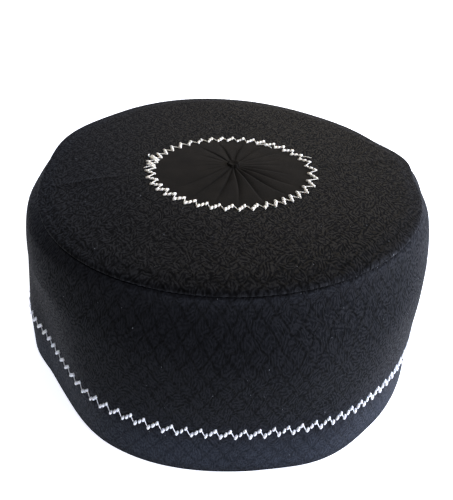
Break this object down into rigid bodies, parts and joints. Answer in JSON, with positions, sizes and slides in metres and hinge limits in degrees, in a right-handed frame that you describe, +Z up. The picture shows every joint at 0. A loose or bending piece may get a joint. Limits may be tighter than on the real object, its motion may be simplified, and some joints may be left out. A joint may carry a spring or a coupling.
{
  "type": "kufi cap",
  "caption": "Soft pillbox cap, open below for the head: a tall dented side band, a flat crown with a softly raised edge, and a pleated round centre gathered into a small knot.",
  "frame": {"origin": "on the surface that the rim stands on, under the middle of the cap's box", "axes": "+Z up from the rim to the crown, -Y towards the side that the picture shows, +X to that side's right"},
  "size_m": [0.1851, 0.1946, 0.084],
  "materials": {
    "black_jacquard": "tone-on-tone woven pattern, faint sheen",
    "black_plain_cloth": "smooth matt cloth"
  },
  "bodies": {
    "root": {"side_band": "black_jacquard", "crown_panel": "black_jacquard", "pleated_centre": "black_plain_cloth", "centre_knot": "black_plain_cloth"}
  },
  "joints": []
}
